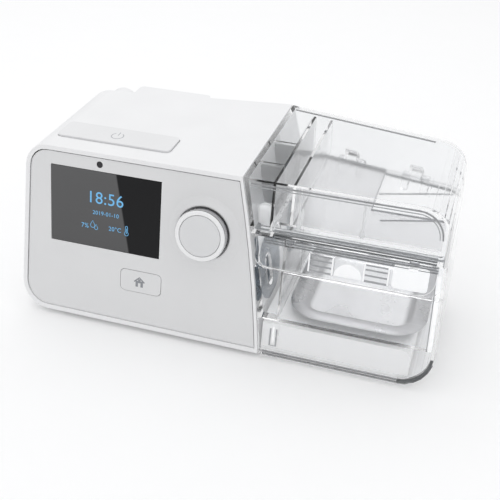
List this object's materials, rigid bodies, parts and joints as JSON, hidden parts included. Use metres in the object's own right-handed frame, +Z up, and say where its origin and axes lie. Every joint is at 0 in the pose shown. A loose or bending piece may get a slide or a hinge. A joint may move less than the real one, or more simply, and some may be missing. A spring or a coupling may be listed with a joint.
{
  "type": "mechanical ventilator",
  "caption": "Bedside ventilator: tilted front with screen and push knob, power bar on top, clear water tank with hinged lid over a heater plate, hose port and filter door at the rear.",
  "frame": {"origin": "centre of the footprint, on the table under the feet", "axes": "+X to the right along the front, +Y from the front to the rear, +Z up"},
  "size_m": [0.2634, 0.131, 0.1102],
  "materials": {
    "white_casing": "fine satin moulded",
    "grey_panel": "satin light grey",
    "screen_glass": "gloss black lens",
    "clear_plastic": "clear polished",
    "brushed_steel": "satin",
    "chrome": "polished",
    "silicone": "slate blue silicone",
    "rubber_feet": "matt",
    "circuit_board": "green laminate",
    "black_plastic": "matt",
    "filter_foam": "open foam",
    "duct_plastic": "plain moulded"
  },
  "bodies": {
    "unit": {"main_casing": "white_casing", "base_tray": "white_casing", "hose_port": "white_casing", "front_fascia": "grey_panel", "screen_lens": "screen_glass", "light_sensor_window": "screen_glass", "heater_spring_front": "brushed_steel", "heater_spring_rear": "brushed_steel", "case_screw_1": "brushed_steel", "case_screw_2": "brushed_steel", "case_screw_3": "brushed_steel", "case_screw_4": "brushed_steel", "outlet_seal": "silicone", "return_seal": "silicone", "blower_mount_1": "silicone", "blower_mount_2": "silicone", "foot_front_left": "rubber_feet", "foot_front_middle": "rubber_feet", "foot_front_right": "rubber_feet", "foot_rear_left": "rubber_feet", "foot_rear_middle": "rubber_feet", "foot_rear_right": "rubber_feet", "control_board": "circuit_board", "main_board": "circuit_board", "power_board": "circuit_board", "lcd_module": "black_plastic", "home_switch": "black_plastic", "encoder_body": "black_plastic", "power_switch": "black_plastic", "pressure_sensor": "black_plastic", "power_inlet": "black_plastic", "motor_can": "black_plastic", "filter_foam": "filter_foam", "inlet_muffler": "filter_foam", "volute_lower": "duct_plastic", "volute_upper": "duct_plastic", "outlet_duct": "duct_plastic", "return_duct": "duct_plastic"},
    "home": {"home_button": "grey_panel"},
    "power": {"power_button": "white_casing"},
    "turner": {"encoder_rotor": "brushed_steel"},
    "knob": {"knob_body": "white_casing", "knob_trim_ring": "chrome", "knob_cap": "grey_panel"},
    "wheel": {"impeller": "duct_plastic", "motor_shaft": "brushed_steel"},
    "door": {"filter_door": "white_casing"},
    "heater": {"heater_plate": "brushed_steel", "heater_element": "black_plastic"},
    "tank": {"tank_body": "clear_plastic", "heat_pan": "brushed_steel", "pan_seal": "silicone", "lid_gasket": "silicone", "hinge_pin_left": "brushed_steel", "hinge_pin_right": "brushed_steel"},
    "lid": {"lid_shell": "clear_plastic", "lid_baffle": "clear_plastic"},
    "flap": {"latch_flap": "clear_plastic"}
  },
  "joints": [
    {"name": "home_button_press", "type": "slide", "parent": "unit", "child": "home", "axis": [0, 0.9753, -0.2208], "range_m": [0, 0.0008], "stiffness_N_per_m": 900, "springref_m": -0.0004},
    {"name": "power_button_press", "type": "slide", "parent": "unit", "child": "power", "axis": [0, 0, -1], "range_m": [0, 0.0008], "stiffness_N_per_m": 900, "springref_m": -0.0006},
    {"name": "knob_turn", "type": "hinge", "parent": "unit", "child": "turner", "pos_m": [-0.0109, -0.04978, 0.07244], "axis": [0, -0.9753, 0.2208], "continuous": true},
    {"name": "knob_press", "type": "slide", "parent": "turner", "child": "knob", "axis": [0, 0.9753, -0.2208], "range_m": [0, 0.0008], "stiffness_N_per_m": 900, "springref_m": -0.0006},
    {"name": "blower_wheel_spin", "type": "hinge", "parent": "unit", "child": "wheel", "pos_m": [-0.042, -0.0055, 0.026], "axis": [0, 0, 1], "continuous": true},
    {"name": "filter_door_pull", "type": "slide", "parent": "unit", "child": "door", "axis": [0, 1, 0], "range_m": [0, 0.02]},
    {"name": "heater_plate_float", "type": "slide", "parent": "unit", "child": "heater", "axis": [0, 0, -1], "range_m": [0, 0.0015], "stiffness_N_per_m": 2500, "springref_m": -0.001, "deforming": ["heater_spring_front", "heater_spring_rear"]},
    {"name": "tank_slide_out", "type": "slide", "parent": "unit", "child": "tank", "axis": [1, 0, 0], "range_m": [0, 0.13]},
    {"name": "lid_hinge", "type": "hinge", "parent": "tank", "child": "lid", "pos_m": [0.05461, 0.05867, 0.0762], "axis": [-0.9815, 0.1914, 0], "range_deg": [0, 100]},
    {"name": "flap_hinge", "type": "hinge", "parent": "lid", "child": "flap", "pos_m": [0.082, -0.04818, 0.07495], "axis": [-1, 0, 0], "range_deg": [0, 60]}
  ]
}
